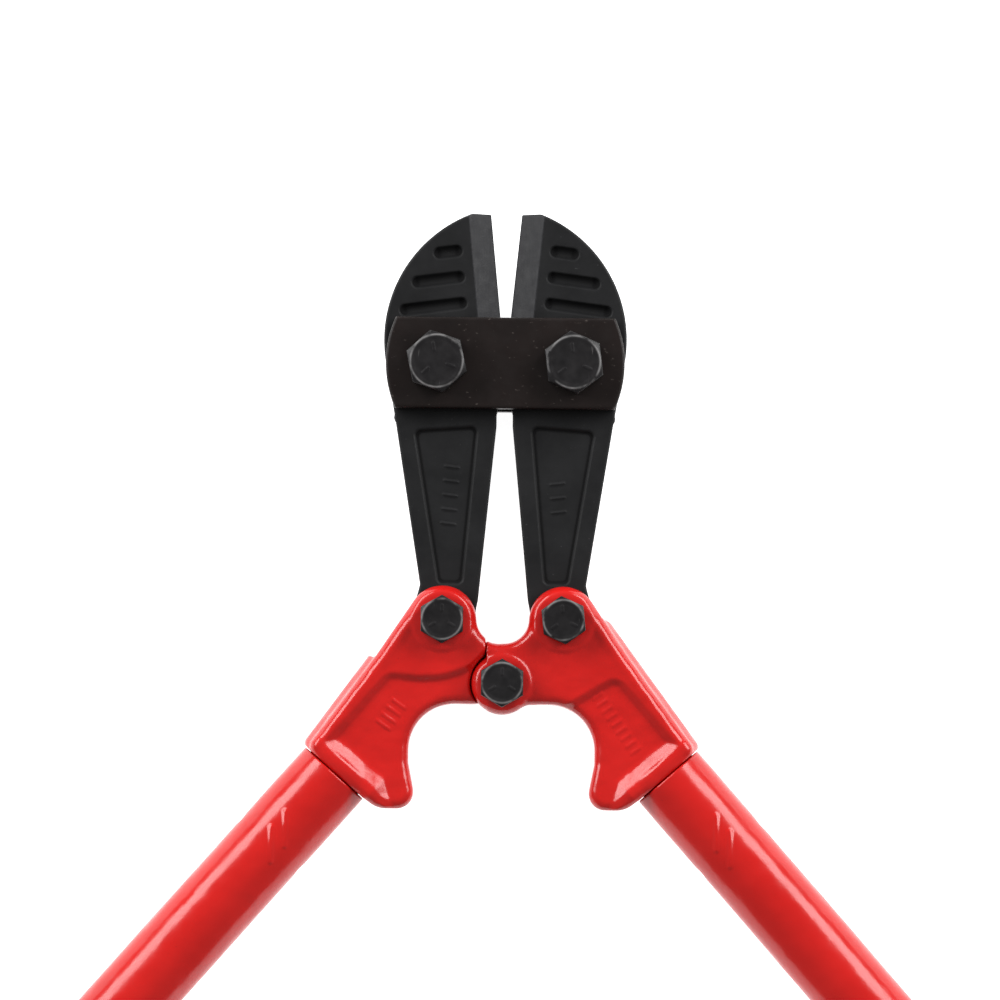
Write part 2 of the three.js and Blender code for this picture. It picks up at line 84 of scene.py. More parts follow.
GAP = 0.3  # between a bolt or a plate and what it runs against
JAW_OPEN = SWING[1] * JAW_SHARE  # turn of a jaw from rest to closed
JAW_HALF = 5.0
JAW_EDGE = 0.75  # radius of a jaw's edges
BACK_RADIUS = 42.1  # the arc of a jaw's back
BACK_MIDDLE = JAW_PIVOT + (-25.6, 7.6)
JAW_LENGTH = 47.0  # from the jaw pivot to the tip
TIP_WIDTH = 5.9
EDGE_GAP = 0.15  # from the centre plane to the edge's line, level with the pivot
EDGE_LAND = 0.7  # flat on the cutting edge
BEVEL_WIDTH = 7.0
BEVEL_LENGTH = 34.0
SHANK_INNER = 2.5
SHANK_RADIUS = 9.5
SHANK_TOP = 19.0  # below the jaw pivot
SHANK_NECK = 7.0
SHANK_WAIST = 11.0  # above the shank pivot
SHANK_MARK_STEP = (0.25, -4.4)
STRAP_HALF = 14.15  # half the straps' height
STRAP_THICK = 5.0
STRAP_CORNER = 12.8
STRAP_BULGE = 3.0
SLOT_ROOM = 0.8  # round a shank or tongue in its slot
HEAD_HALF = 10.5
HEAD_EDGE = 3.0  # radius of a head's edges
PLATE_HALF = 9.9  # a head's flats
PANEL_HALF = 8.2  # and its recessed panels
EAR_RADIUS = 10.6  # round the shank bolt
EAR_TURN = 35 * DEGREE  # where a head's side leaves its ear
SIDE_KNEE = np.array([39.0, 8.4])  # where the side bends towards the tube
SIDE_END = from_tube(0, 11.5)
LOBE = from_tube(8.35, -17)  # the inner lobe's corners are counted from here
BOSS_RADIUS = 9.5  # round the centre bolt
TONGUE_RADIUS = 8.8
SADDLE_Y = 12.3  # floor of the saddle between the two ears
SADDLE_SIDE = 7.7
SADDLE_REACH = 4.9
ARCH_TOP = 6.4  # the arch between the handles, below the centre pivot
TUBE_RADIUS = 12.0
TUBE_WALL = 2.0
TUBE_START = 0.35
TUBE_LENGTH = 405.0
GRIP_START = 255.0
STEM_RADIUS = 9.7
STEM_LENGTH = 45.0
PIN_RADIUS = 2.5
PIN_ALONG = 30.0

PLATE_SIZE = dict(radius=5.0, pitch=1.5, flats=17.0, head=6.4, nut=8.0, washer=2.5, washer_radius=8.6)
PIVOT_SIZE = dict(radius=4.0, pitch=1.25, flats=13.0, head=5.5, nut=6.5, washer=2.0, washer_radius=6.6)
STRAP_OUTER = JAW_HALF + GAP + STRAP_THICK
CHAMFER_SHARE = 0.478  # radius of a hexagon's chamfered face, as a share of its flats
CHAMFER_TURN = 62 * DEGREE
BOLT_STEP = 0.21  # sample spacing for bolts and nuts
SHARP_ANGLE = 40 * DEGREE  # an edge sharper than this isn't shaded smooth


def turned(point, about, angle):
    """The point after a turn about another."""
    c, s = math.cos(angle), math.sin(angle)
    x, y = np.asarray(point, float) - about
    return about + (c * x - s * y, s * x + c * y)


# -------- outlines


def on_circle(middle, radius, turn):
    """The point on a circle at a turn from +x."""
    return np.array([middle[0] + radius * math.cos(turn), middle[1] + radius * math.sin(turn)])


def arc(middle, radius, start, end, step=5 * DEGREE):
    count = max(1, math.ceil(abs(end - start) / step))
    return [on_circle(middle, radius, start + (end - start) * i / count) for i in range(count + 1)]


def angle_of(vector):
    return math.atan2(vector[1], vector[0])


def rounded(corners):
    """A polygon of (corner, radius) pairs, each corner rounded to its radius."""
    outline = []
    for i, (at, radius) in enumerate(corners):
        at = np.asarray(at, float)
        if not radius:
            outline.append(at)
            continue
        before = np.asarray(corners[i - 1][0], float) - at
        after = np.asarray(corners[(i + 1) % len(corners)][0], float) - at
        before /= np.linalg.norm(before)
        after /= np.linalg.norm(after)
        half = math.acos(float(before @ after)) / 2
        inward = (before + after) / np.linalg.norm(before + after)
        middle = at + inward * radius / math.sin(half)
        start = angle_of(at + before * radius / math.tan(half) - middle)
        end = angle_of(at + after * radius / math.tan(half) - middle)
        sweep = end - start - round((end - start) / (2 * math.pi)) * 2 * math.pi
        outline += arc(middle, radius, start, start + sweep)
    return outline


# -------- distance fields


class Grid:
    """Sample points that fill a box, with room for the surface round it."""

    def __init__(self, low, high, step):
        self.step = step
        self.low = np.array(low, float) - 3 * step
        counts = np.ceil((np.array(high, float) + 3 * step - self.low) / step).astype(int) + 1
        axes = [(self.low[i] + step * np.arange(counts[i])).astype(np.float32) for i in range(3)]
        self.x = axes[0].reshape(-1, 1, 1)
        self.y = axes[1].reshape(1, -1, 1)
        self.z = axes[2].reshape(1, 1, -1)

    def offset(self, middle):
        return self.x - middle[0], self.y - middle[1]


def blend_min(a, b, width):
    h = np.maximum(width - np.abs(a - b), 0) / width
    return np.minimum(a, b) - h * h * width / 4


def blend_max(a, b, width):
    return -blend_min(-a, -b, width)


def disc(g, middle, radius):
    return np.hypot(*g.offset(middle)) - radius


def capsule(g, a, b, radius):
    a, b = np.asarray(a, float), np.asarray(b, float)
    px, py = g.offset(a)
    along = b - a
    t = np.clip((px * along[0] + py * along[1]) / max(along @ along, 1e-9), 0, 1)
    return np.hypot(px - along[0] * t, py - along[1] * t) - radius


def polygon(g, corners):
    inside = np.zeros((g.x.shape[0], g.y.shape[1], 1), bool)
    nearest = np.full(inside.shape, 1e9, np.float32)
    for a, b in zip(corners, corners[1:] + corners[:1]):
        ex, ey = b[0] - a[0], b[1] - a[1]
        if ex * ex + ey * ey < 1e-12:
            continue
        wx, wy = g.offset(a)
        t = np.clip((wx * ex + wy * ey) / (ex * ex + ey * ey), 0, 1)
        nearest = np.minimum(nearest, (wx - ex * t) ** 2 + (wy - ey * t) ** 2)
        if abs(ey) > 1e-9:
            inside ^= ((a[1] > g.y) != (b[1] > g.y)) & (wx < ex * wy / ey)
    return np.where(inside, -1, 1) * np.sqrt(nearest)


def polyline(g, corners):
    """Distance to a chain of straight pieces."""
    return np.minimum.reduce([capsule(g, a, b, 0) for a, b in zip(corners, corners[1:])])


def rounded_join(a, b, radius):
    """Where both fields are inside, with the edge between them rounded."""
    a, b = a + radius, b + radius
    return np.minimum(np.maximum(a, b), 0) + np.hypot(np.maximum(a, 0), np.maximum(b, 0)) - radius


def slab(g, plan, half, radius):
    return rounded_join(plan, np.abs(g.z) - half, radius)


def cut(field, hole, radius=0.0):
    return blend_max(field, -hole, radius) if radius else np.maximum(field, -hole)


def bars(g, first, step, count, reach, width):
    """A row of equal short bars: `first` centre, `step` to the next, `reach` from its middle to an end."""
    rows = [np.asarray(first, float) + i * np.asarray(step, float) for i in range(count)]
    reach = np.asarray(reach, float)
    return np.minimum.reduce([capsule(g, at - reach, at + reach, width / 2) for at in rows])


def square_to(row, reach):
    """A vector of length `reach` at right angles to a row."""
    return np.array([row[1], -row[0]]) / np.linalg.norm(row) * reach


def raised(distance, height, slope=0.45):
    """What a mark adds to the height of a face."""
    t = np.clip(-distance / slope, 0, 1)
    return height * t * t * (3 - 2 * t)


# -------- meshes from fields


def sample(field, g, at):
    """The field at points, between its samples."""
    index = (at - g.low) / g.step
    index = np.clip(index, 0, np.array(field.shape) - 1.001)
    base = index.astype(int)
    part = index - base
    total = 0
    for corner in np.ndindex(2, 2, 2):
        weight = np.prod(np.where(corner, part, 1 - part), axis=1)
        total = total + weight * field[tuple((base + corner).T)]
    return total


def gradient(field, g, at, reach):
    return np.stack([
        sample(field, g, at + reach * axis) - sample(field, g, at - reach * axis) for axis in np.eye(3)
    ], axis=1) / (2 * reach)


def skin(field, g, edge_reach=1.2, soften=0.8):
    """The surface where the field is zero: points, quads, normals, and how far each point stands proud."""
    field = np.ascontiguousarray(np.broadcast_to(field, (g.x.size, g.y.size, g.z.size)), np.float32)
    volume = openvdb.FloatGrid(1.0)
    volume.copyFromArray(np.clip(field, -1e3, 1e3))
    points, quads = volume.convertToQuads(0.0)
    at = points * g.step + g.low
    for _ in range(3):
        slope = gradient(field, g, at, g.step / 2)
        size = np.maximum((slope**2).sum(1), 0.05)
        move = -(sample(field, g, at) / size)[:, None] * slope
        far = np.linalg.norm(move, axis=1, keepdims=True)
        at = at + move * np.minimum(1, 0.5 * g.step / np.maximum(far, 1e-9))
    normals = gradient(field, g, at, soften * g.step)
    normals /= np.maximum(np.linalg.norm(normals, axis=1, keepdims=True), 1e-9)
    around = [a for a in np.ndindex(3, 3, 3) if sum(abs(v - 1) for v in a) in (1, 3)]
    around = np.array(around, float) - 1
    around /= np.linalg.norm(around, axis=1, keepdims=True)
    proud = sum(sample(field, g, at + edge_reach * a) for a in around) / len(around) / edge_reach
    return dict(points=at, faces=quads, normals=normals, values={"proud": proud})


def mirrored(shape):
    """The left-hand piece of a right-hand one."""
    flip = np.array([-1.0, 1.0, 1.0])
    normals = None if shape["normals"] is None else shape["normals"] * flip
    return dict(shape, points=shape["points"] * flip, normals=normals, faces=shape["faces"][:, ::-1])


def placed(shape, at, turn):
    """A piece made about its own axis, turned and moved to its place."""
    c, s = math.cos(turn), math.sin(turn)
    spin = np.array([[c, -s, 0], [s, c, 0], [0, 0, 1]])
    move = np.array([at[0], at[1], 0])
    return dict(shape, points=shape["points"] @ spin.T + move, normals=shape["normals"] @ spin.T)


def make_mesh(name, shape):
    """A mesh, in metres, in the frame."""
    mesh = bpy.data.meshes.new(name)
    points = (shape["points"] + (0, 0, MID_PLANE)) / METRE
    faces = shape["faces"]
    count, sides = faces.shape
    mesh.vertices.add(len(points))
    mesh.vertices.foreach_set("co", points.astype(np.float32).ravel())
    mesh.loops.add(count * sides)
    mesh.loops.foreach_set("vertex_index", faces.astype(np.int32).ravel())
    mesh.polygons.add(count)
    mesh.polygons.foreach_set("loop_start", np.arange(0, count * sides, sides, dtype=np.int32))
    mesh.update(calc_edges=True)
    mesh.validate()
    mesh.polygons.foreach_set("use_smooth", np.ones(len(mesh.polygons), bool))
    for key, values in shape["values"].items():
        layer = mesh.attributes.new(key, "FLOAT", "POINT")
        layer.data.foreach_set("value", values.astype(np.float32))
    if shape["normals"] is not None:
        mesh.normals_split_custom_set_from_vertices([tuple(n) for n in shape["normals"]])
    return mesh


def new_object(name, data):
    thing = bpy.data.objects.new(name, data)
    bpy.context.scene.collection.objects.link(thing)
    return thing


def add_piece(name, mesh, node, body, material):
    """A visible piece that rides on its body in place of its CAD node."""
    piece = new_object(name, mesh)
    mesh.materials.append(material)
    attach(piece, body)
    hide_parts(node)
    return piece


# -------- jaws


def edge_x(y):
    """How far the open cutting edge is from the centre plane."""
    return EDGE_GAP + (y - JAW_PIVOT[1]) * math.tan(JAW_OPEN)


def blade_outline():
    """The jaw from its tip to the top of its shank."""
    tip_y = JAW_PIVOT[1] + JAW_LENGTH
    tip = np.array([edge_x(tip_y), tip_y])
    turn = angle_of(tip + (TIP_WIDTH, 0) - BACK_MIDDLE)
    edge_end = JAW_PIVOT[1] + 5
    return arc(BACK_MIDDLE, BACK_RADIUS, -0.2, turn, 2 * DEGREE) + [
        tip,
        np.array([edge_x(edge_end), edge_end]),
        np.array([SHANK_INNER, JAW_PIVOT[1] - STRAP_HALF]),
        np.array([JAW_PIVOT[0] + STRAP_CORNER, JAW_PIVOT[1] - SHANK_TOP + 2]),
    ]


def shank_outline(grow=0.0):
    """The shank, from the straps down to the round end at its pivot."""
    end = SHANK_RADIUS + grow
    px, py = SHANK_PIVOT
    return [np.array(p) for p in (
        (SHANK_INNER - grow, JAW_PIVOT[1] - 5),
        (SHANK_INNER - grow, JAW_PIVOT[1] - SHANK_TOP),
        (px - SHANK_RADIUS - 1.5 - grow, py + 0.67 * SHANK_RADIUS),
        (px - 0.95 * end, py - 0.3 * end),
        (px, py - 0.6 * end),
        (px + 0.95 * end, py + 0.3 * end),
        (px + SHANK_NECK + grow, py + SHANK_WAIST),
        (JAW_PIVOT[0] + STRAP_CORNER + grow, JAW_PIVOT[1] - SHANK_TOP + 2),
    )]


def shank_panel():
    """The recess in each face of the shank, which holds the raised bars."""
    top, bottom = JAW_PIVOT[1] - SHANK_TOP, SHANK_PIVOT[1] + SHANK_WAIST
    return rounded([
        ((SHANK_INNER + 5.5, top), 2.2),
        ((JAW_PIVOT[0] + STRAP_CORNER - 5.6, top - 1.5), 2.2),
        ((SHANK_PIVOT[0] + SHANK_NECK - 5.3, bottom), 2),
        ((SHANK_PIVOT[0] - SHANK_NECK + 0.7, bottom), 2),
    ])


def groove(g, row, face):
    """A round-bottomed groove in one face of a jaw, as the hollow of a bar pressed into it."""
    first, pitch, margin, fall = 18.8, 8.15, 4.8, 0.13
    half_width, depth = 1.8, 1.6
    y = JAW_PIVOT[1] + first + pitch * row
    start_x = edge_x(y) + BEVEL_WIDTH + margin
    reach = BACK_RADIUS - margin
    end_x = BACK_MIDDLE[0] + math.sqrt(reach**2 - (y - BACK_MIDDLE[1]) ** 2)
    radius = (half_width**2 + depth**2) / (2 * depth)
    line = capsule(g, (start_x, y), (end_x, y - (end_x - start_x) * fall), 0)
    return np.hypot(line, face * g.z - JAW_HALF + depth - radius) - radius


def jaw_height(g, mark_from, mark_count):
    """Half the thickness of a jaw: its flats, the recess in its shank and the bars in that."""
    panel = polygon(g, shank_panel())
    recess, wall_slope, wall_inset = 0.95, 1.2, 0.8
    floor = JAW_HALF - recess
    wall = floor + wall_slope * (panel + wall_inset)
    height = np.full(panel.shape, JAW_HALF, np.float32)
    height = blend_min(height, blend_max(np.full_like(wall, floor), wall, 0.35), 0.25)
    marks = bars(g, mark_from, SHANK_MARK_STEP, mark_count, (2.1, 0.25), 1.0)
    return height + raised(marks, 0.35)


def make_jaw(mark_from, mark_count):
    g = Grid((-1, SHANK_PIVOT[1] - 10, -5.2), (39, JAW_PIVOT[1] + JAW_LENGTH, 5.2), 0.34)
    blade, shank = polygon(g, blade_outline()), polygon(g, shank_outline())
    plan = blend_min(blade, blend_min(shank, disc(g, SHANK_PIVOT, SHANK_RADIUS), 2), 1.5)
    height = jaw_height(g, mark_from, mark_count)
    body = rounded_join(plan, (np.abs(g.z) - height) * 0.97, JAW_EDGE)
    for row, face in np.ndindex(3, 2):
        body = cut(body, groove(g, row, 1 - 2 * face), 0.4)
    # The bevels rise inward from the cutting edge, and run from the tip to just under the straps.
    across = np.array([math.cos(JAW_OPEN), -math.sin(JAW_OPEN)])
    tip_y = JAW_PIVOT[1] + JAW_LENGTH
    px, py = g.offset((edge_x(tip_y), tip_y))
    inward = px * across[0] + py * across[1]
    beyond_end = -(py * across[0] - px * across[1]) - BEVEL_LENGTH
    slope = (JAW_HALF - EDGE_LAND / 2) / BEVEL_WIDTH
    lean = math.hypot(1, slope)
    bevel = (np.abs(g.z) - EDGE_LAND / 2 - slope * inward) / lean
    body = blend_max(body, np.minimum(bevel, -beyond_end), 0.12)
    body = cut(body, disc(g, JAW_PIVOT, PLATE_SIZE["radius"] + GAP))
    body = cut(body, disc(g, SHANK_PIVOT, PIVOT_SIZE["radius"] + GAP))
    shape = skin(body, g)

    at = shape["points"]
    point_in = (at[:, 0] - edge_x(tip_y)) * across[0] + (at[:, 1] - tip_y) * across[1]
    off_plane = np.abs(np.abs(at[:, 2]) - EDGE_LAND / 2 - slope * point_in) / lean
    on_bevel = (off_plane < 0.12) & (at[:, 1] > tip_y - BEVEL_LENGTH)
    shape["values"]["ground"] = on_bevel.astype(float)
    return shape


# -------- straps


def make_strap(face):
    """A side plate with bulged ends, on the front (1) or the back (-1)."""
    bulge = (STRAP_HALF**2 + STRAP_BULGE**2) / (2 * STRAP_BULGE)
    middle = (JAW_PIVOT[0] + STRAP_CORNER + STRAP_BULGE - bulge, JAW_PIVOT[1])
    turn = math.asin(STRAP_HALF / bulge)
    end = arc(middle, bulge, -turn, turn, 2 * DEGREE)
    outline = end + [p * (-1, 1) for p in reversed(end)]
    z_middle = face * (STRAP_OUTER - STRAP_THICK / 2)
    wide, low = STRAP_CORNER + STRAP_BULGE + JAW_PIVOT[0], JAW_PIVOT[1] - STRAP_HALF
    g = Grid((-wide, low, z_middle - 2.7), (wide, low + 2 * STRAP_HALF, z_middle + 2.7), 0.3)
    # Sheared plate: the face that went into the die has the rounder edge.
    plan = polygon(g, outline)
    above = face * (g.z - z_middle) - STRAP_THICK / 2
    below = -face * (g.z - z_middle) - STRAP_THICK / 2
    body = np.maximum(rounded_join(plan, above, 0.9), rounded_join(plan, below, 0.35))
    for side in (-1, 1):
        body = cut(body, disc(g, JAW_PIVOT * (side, 1), PLATE_SIZE["radius"] + GAP), 0.4)
    return skin(body, g)


# -------- handle heads


def head_outline(nose):
    """A head's flats: the saddle beside its ear, the `nose` at the centre, arch, lobe and side."""
    notch = (SHANK_PIVOT[0] - EAR_RADIUS - SADDLE_SIDE, SADDLE_Y + SADDLE_SIDE)
    arch_side = LOBE[0] - 4.4
    return rounded([
        *[(p, 0) for p in arc(notch, SADDLE_SIDE, 0, -math.pi / 2)],
        *[(p, 0) for p in nose],
        ((arch_side, -ARCH_TOP), 14.3),
        ((arch_side, LOBE[1] + 8.1), 6.1),
        ((LOBE[0] - 6.0, LOBE[1]), 6.1),
        ((LOBE[0] - 6.1, LOBE[1] - 6.1), 5.1),
        ((LOBE[0] + 5.0, LOBE[1] - 6.1), 8),
        (from_tube(0, -12), 0),
        (SIDE_END, 3),
        (SIDE_KNEE, 10),
        (on_circle(SHANK_PIVOT, EAR_RADIUS, EAR_TURN), 0),
    ])


def panel_outline(inner):
    """The recess in each flat, whose `inner` side follows the arch."""
    margin = 9.1
    return rounded([
        (from_tube(2, 8.3), 0),
        (from_tube(34, 8.9), 5),
        *inner,
        ((LOBE[0] - 18.7, LOBE[1] + margin), 0),
        ((LOBE[0] - margin, LOBE[1]), 0),
        ((LOBE[0] - margin, LOBE[1] - margin), 0),
        (from_tube(2, -45), 0),
    ])


def place_on_tube(g):
    """How far up from the tube's end, and out from its axis, the samples are."""
    px, py = g.offset(TUBE_END)
    return -(px * TUBE_DOWN[0] + py * TUBE_DOWN[1]), px * TUBE_OUT[0] + py * TUBE_OUT[1]


def head_height(g, inner):
    """Half the thickness of a head: its flats, rib, recessed panel and the ramp beside the tube."""
    up, out = place_on_tube(g)
    from_side = polyline(g, [on_circle(SHANK_PIVOT, EAR_RADIUS, EAR_TURN), SIDE_KNEE, SIDE_END])
    rib_height, rib_inset, rib_width = 0.4, 3.0, 1.7
    height = PLATE_HALF + rib_height * np.exp(-(((from_side - rib_inset) / rib_width) ** 2))

    panel = polygon(g, panel_outline(inner))
    wall_width = 2.3
    wall = PANEL_HALF + (PLATE_HALF + 0.3 - PANEL_HALF) / wall_width * (panel + wall_width)
    height = blend_min(height, blend_max(wall, np.full_like(wall, PANEL_HALF), 0.3), 0.4)

    # The ramp rises towards the tube, and dies out on the lobe's side of it.
    ramp_start, ramp_slope, ramp_top = 8.9, 0.55, 10.8
    fade_start, fade_slope = 12.8, 0.36
    ramp = PANEL_HALF + (ramp_start - up) * ramp_slope
    ramp = blend_min(ramp, np.full_like(ramp, ramp_top), 0.4)
    ramp = ramp - fade_slope * np.maximum(-fade_start - out, 0)
    return blend_max(height, ramp, 0.5)


def raise_disc(g, height, middle, radius, top):
    """A round boss face that stands up from the height round it."""
    inset, slope = 0.3, 1.3
    away = np.hypot(*g.offset(middle))
    t = np.clip((radius - inset - away) / slope, 0, 1)
    t = t * t * (3 - 2 * t)
    return height * (1 - t) + np.maximum(height, top) * t


def barrel(g, top, top_round):
    """The half-round back of a head, which stands a little outside the edge of its flats."""
    along = (SIDE_END - SIDE_KNEE) / np.linalg.norm(SIDE_END - SIDE_KNEE)
    px, py = g.offset(SIDE_END)
    outside = px * -along[1] + py * along[0]
    up = -(px * along[0] + py * along[1])
    radius, proud, flat_half = 9.0, 2.0, 7.8
    body = np.hypot(outside + radius - proud, g.z) - radius
    ends = np.maximum(rounded_join(body, -up - 0.3, 2.5), rounded_join(body, up - top, top_round))
    return rounded_join(ends, np.abs(g.z) - flat_half, 0.8)


def shank_slot(g):
    """What a shank sweeps through in its head."""
    steps = np.linspace(SWING[0], SWING[1], 12)
    outline = shank_outline(SLOT_ROOM)
    swept = [polygon(g, [turned(p, SHANK_PIVOT, t) for p in outline]) for t in steps]
    swept.append(disc(g, SHANK_PIVOT, SHANK_RADIUS + SLOT_ROOM))
    return np.maximum(np.minimum.reduce(swept), np.abs(g.z) - JAW_HALF - GAP)


def centre_in_tongue(turn):
    """Where the fork's centre lies in the left head, drawn as a right-hand piece, after a swing."""
    jaw_turn = turn * JAW_SHARE
    fork = turned(turned(CENTRE, SHANK_PIVOT, -turn), JAW_PIVOT, jaw_turn)
    return turned(turned(fork * (-1, 1), JAW_PIVOT, -jaw_turn), SHANK_PIVOT, turn)


def head_grid():
    return Grid((-10.5, -69, -12.6), (89.5, 31, 12.6), 0.4)


def flats(g, plan, height):
    """The plate part of a head, with its edges rounded."""
    return rounded_join(plan, (np.abs(g.z) - height) * 0.96, HEAD_EDGE)


def head_body(g, front, barrel_top, barrel_round):
    """Flats, back, collar and stem, before the centre joint is cut."""
    body = blend_min(front, barrel(g, barrel_top, barrel_round), 1.4)
    up, out = place_on_tube(g)
    axis = np.hypot(out, g.z)
    collar_radius, collar_half, collar_flat = 12.1, 2.0, 10.7
    collar = rounded_join(axis - collar_radius, np.abs(up - collar_half) - collar_half, 1.2)
    collar = blend_max(collar, np.abs(g.z) - collar_flat, 1.5)
    stem = rounded_join(axis - STEM_RADIUS, np.abs(up + STEM_LENGTH / 2 - 1) - STEM_LENGTH / 2 - 1, 1.2)
    body = np.minimum(blend_min(body, collar, 2.0), stem)
    body = np.maximum(body, np.minimum(-up, axis - STEM_RADIUS - 0.1))
    body = cut(body, np.hypot(up + PIN_ALONG, g.z) - PIN_RADIUS - 0.1)
    body = cut(body, shank_slot(g), 0.5)
    return cut(body, disc(g, SHANK_PIVOT, PIVOT_SIZE["radius"] + GAP))


def fork_slot(g):
    """The slot in the fork that the tongue swings in."""
    radius = TONGUE_RADIUS + np.linalg.norm(centre_in_tongue(SWING[1] / 2)) + SLOT_ROOM
    right, top = 0.5 * radius, SADDLE_Y + SLOT_ROOM + 2
    mouth = polygon(g, [(-radius, 0), (right, 0), (right, top), (-radius, top)])
    return np.maximum(np.minimum(disc(g, CENTRE, radius), mouth), np.abs(g.z) - JAW_HALF - GAP)


def make_fork_head():
    g = head_grid()
    # The nose goes on along the saddle of the other head.
    nose = [
        (-1.3, SADDLE_Y - 0.1), (-3.2, SADDLE_Y + 0.15), (-5.0, SADDLE_Y + 0.9),
        (-9, 16.5), (-9, -ARCH_TOP),
    ]
    plan = np.minimum(polygon(g, head_outline(nose)), disc(g, SHANK_PIVOT, EAR_RADIUS))
    plan = blend_min(plan, disc(g, CENTRE, BOSS_RADIUS), 1.5)
    height = head_height(g, [((19.6, -ARCH_TOP + 0.4), 2.5), ((17.0, -ARCH_TOP - 3), 0)])
    height = raise_disc(g, height, SHANK_PIVOT, EAR_RADIUS, HEAD_HALF)
    height = raise_disc(g, height, CENTRE, BOSS_RADIUS + 0.5, HEAD_HALF)
    first, last, count = np.array([29.6, -3.6]), np.array([41.4, -20.4]), 9
    row = (last - first) / (count - 1)
    height = height + raised(bars(g, first, row, count, square_to(row, 1.7), 1.0), 0.4)
    # Left of the saddle's end only the boss goes on.
    boss = flats(g, disc(g, CENTRE, BOSS_RADIUS), height)
    front = blend_max(flats(g, plan, height), np.minimum(-(g.x + SADDLE_REACH), boss), 0.4)
    body = cut(head_body(g, front, 50.5, 3.5), fork_slot(g), 0.5)
    return skin(cut(body, disc(g, CENTRE, PIVOT_SIZE["radius"] + GAP)), g, soften=1.5)


def tongue_plan(g):
    """The tongue round the centre bolt, and the neck that joins it to its head."""
    low, root, top = -ARCH_TOP + 0.2, 14, 12.9
    neck = polygon(g, rounded([
        ((0, low), 0), ((root, low), 0), ((root, top), 0),
        ((5.6, top), 0.5), ((2.6, 11.9), 1), ((0, 8.5), 0),
    ]))
    return blend_min(disc(g, CENTRE, TONGUE_RADIUS), neck, 1.0)


def make_tongue_head():
    g = head_grid()
    nose_x = SADDLE_REACH + GAP
    # The outlines go past the centre, and a plane at the nose cuts the flats off.
    past, panel_top = -3, 13.5
    plan = polygon(g, head_outline([(past, SADDLE_Y), (past, -ARCH_TOP)]))
    plan = np.minimum(plan, disc(g, SHANK_PIVOT, EAR_RADIUS))
    height = head_height(g, [
        ((19.5, 2.1), 28), ((8.6, 6.9), 12), ((4.6, panel_top), 0),
        ((past, panel_top), 0), ((past, -ARCH_TOP - 3), 0),
    ])
    height = raise_disc(g, height, SHANK_PIVOT, EAR_RADIUS, HEAD_HALF)
    marks_middle, row = np.array([34.2, -9.9]), np.array([1.55, -2.2])
    marks = bars(g, marks_middle - 1.5 * row, row, 4, square_to(row, 2.4), 1.1)
    height = height + raised(marks, 0.4)
    front = blend_max(flats(g, plan, height), nose_x - g.x, 0.4)
    body = head_body(g, front, 34.5, 0.8)

    # Room for the fork's boss, and a slot for the centre bolt, at every swing.
    opened, furthest = centre_in_tongue(SWING[0]), centre_in_tongue(SWING[1] / 2)
    body = cut(body, capsule(g, CENTRE, opened, BOSS_RADIUS + 1.3 * GAP), 1.2)
    body = blend_min(body, slab(g, tongue_plan(g), JAW_HALF, 0.6), 0.5)
    bore = PIVOT_SIZE["radius"] + 2 * GAP
    body = cut(body, capsule(g, opened, CENTRE, bore))
    return skin(cut(body, capsule(g, CENTRE, furthest, bore)), g, soften=1.5)


# -------- fasteners, about their own axis


def hexagon(g, size):
    return np.maximum.reduce([
        g.x * math.cos(turn) + g.y * math.sin(turn) - size["flats"] / 2
        for turn in (i * 2 * math.pi / 6 for i in range(6))
    ])


def chamfer(away, size, rise):
    """The cone that takes a hexagon's corners off; `rise` is the height above its end face."""
    rim = CHAMFER_SHARE * size["flats"]
    return (away - rim + rise * math.tan(CHAMFER_TURN)) * math.cos(CHAMFER_TURN)


def threaded(g, size):
    """A rod with a screw thread of 60 degrees, inside the thread's outer radius."""
    depth = 0.6 * size["pitch"]
    turn = np.arctan2(g.y, g.x) / (2 * math.pi)
    phase = (g.z / size["pitch"] - turn) % 1
    cut_in = np.clip(1 - 2.2 * np.abs(phase - 0.5), 0, 0.9)
    return (np.hypot(g.x, g.y) - size["radius"] + depth * cut_in) * 0.7


def bolt_head(g, size, face, top):
    """A hexagon head with both ends chamfered, a dished top and three raised ticks."""
    away = np.hypot(g.x, g.y)
    middle = (top + face + GAP) / 2
    head = rounded_join(hexagon(g, size), np.abs(g.z - middle) - size["head"] / 2, 0.25)
    head = blend_max(head, chamfer(away, size, g.z - top), 0.25)
    lower_slope = 3.0
    under = away - CHAMFER_SHARE * size["flats"] - (g.z - face - GAP) * lower_slope
    head = blend_max(head, under / math.hypot(1, lower_slope), 0.15)
    dish = 0.14 * np.clip((0.44 * size["flats"] - away) / 0.8, 0, 1)
    head = np.maximum(head, g.z - top + dish)
    for i in range(3):
        turn = math.pi / 2 + i * 2 * math.pi / 3
        start, end = (on_circle((0, 0), share * size["flats"], turn) for share in (0.2, 0.33))
        tick = capsule(g, start, end, 0.4)
        head = blend_min(head, rounded_join(tick, np.abs(g.z - top + 0.4) - 0.38, 0.2), 0.3)
    return head


